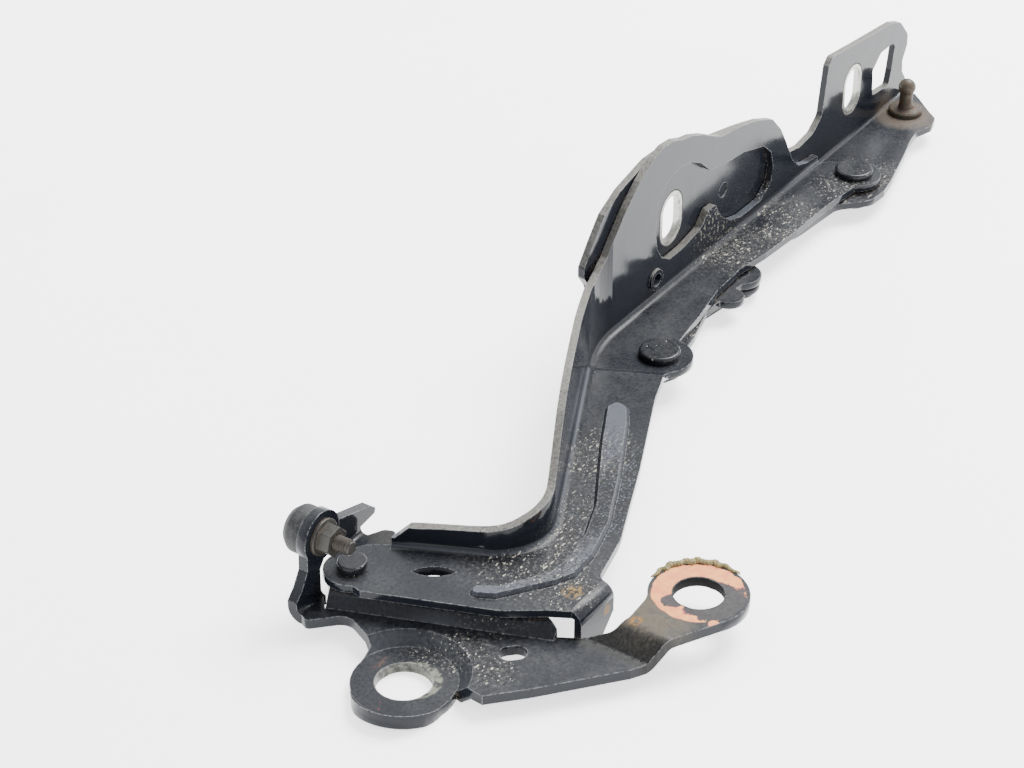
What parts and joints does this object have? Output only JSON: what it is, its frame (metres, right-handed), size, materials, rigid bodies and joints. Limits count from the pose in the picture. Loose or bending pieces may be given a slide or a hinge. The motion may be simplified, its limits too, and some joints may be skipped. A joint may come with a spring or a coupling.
{
  "type": "bonnet hinge",
  "caption": "Pressed-steel vehicle bonnet hinge: body bracket, cranked arm, and a front bracket that lifts about its own pivot under a folding limiter link.",
  "frame": {"origin": "centre of the rear body hole, on the underside of its ear, which is the body mounting face", "axes": "+X along the straight bonnet flange toward the front of the car, +Y toward the bonnet, +Z along all pivot axes, up as the hinge lies on a table"},
  "size_m": [0.5028, 0.1454, 0.0817],
  "materials": {
    "black_painted_steel": "worn black electrocoat, satin, dusty",
    "phosphated_steel": "black phosphated steel",
    "bearing_bronze": "dull bronze",
    "dull_zinc_steel": "dull grey-brown plated steel",
    "rusty_steel": "grey steel with brown rust film",
    "black_rubber": "matt black rubber"
  },
  "bodies": {
    "body": {"body_bracket": "black_painted_steel", "main_pivot_pin": "phosphated_steel", "main_pivot_collar": "phosphated_steel", "main_pivot_washer": "phosphated_steel", "stop_bolt": "dull_zinc_steel", "stop_nut": "dull_zinc_steel", "stop_buffer": "black_rubber"},
    "arm": {"hinge_arm": "black_painted_steel", "main_pivot_bush": "bearing_bronze", "deploy_pivot_rivet": "phosphated_steel", "deploy_pivot_bush": "bearing_bronze", "deploy_pivot_washer": "phosphated_steel", "deploy_lower_washer": "phosphated_steel", "limiter_arm_rivet": "phosphated_steel", "limiter_arm_washer": "phosphated_steel"},
    "bonnet": {"bonnet_bracket": "black_painted_steel", "gas_strut_ball_stud": "rusty_steel", "limiter_bracket_rivet": "phosphated_steel", "limiter_bracket_washer": "phosphated_steel"},
    "lower_link": {"limiter_lower_link": "black_painted_steel", "limiter_joint_rivet": "phosphated_steel", "limiter_joint_washer": "phosphated_steel"},
    "upper_link": {"limiter_upper_link": "black_painted_steel"}
  },
  "joints": [
    {"name": "bonnet_open", "type": "hinge", "parent": "body", "child": "arm", "pos_m": [0.027, 0.0415, 0.0165], "axis": [0, 0, 1], "range_deg": [0, 42]},
    {"name": "deploy_lift", "type": "hinge", "parent": "arm", "child": "bonnet", "pos_m": [0.389, 0.035, 0.0085], "axis": [0, 0, -1], "range_deg": [0, 14]},
    {"name": "lower_link_swing", "type": "hinge", "parent": "arm", "child": "lower_link", "pos_m": [0.212, 0.028, 0.0085], "axis": [0, 0, 1], "range_deg": [0, 9.2]},
    {"name": "upper_link_swing", "type": "hinge", "parent": "bonnet", "child": "upper_link", "pos_m": [0.226, 0.046, 0.00475], "axis": [0, 0, -1], "range_deg": [0, 11.5]}
  ],
  "couplings": [
    {"joint": "lower_link_swing", "follows": "deploy_lift", "ratio": 0.638},
    {"joint": "upper_link_swing", "follows": "deploy_lift", "ratio": 0.803}
  ]
}
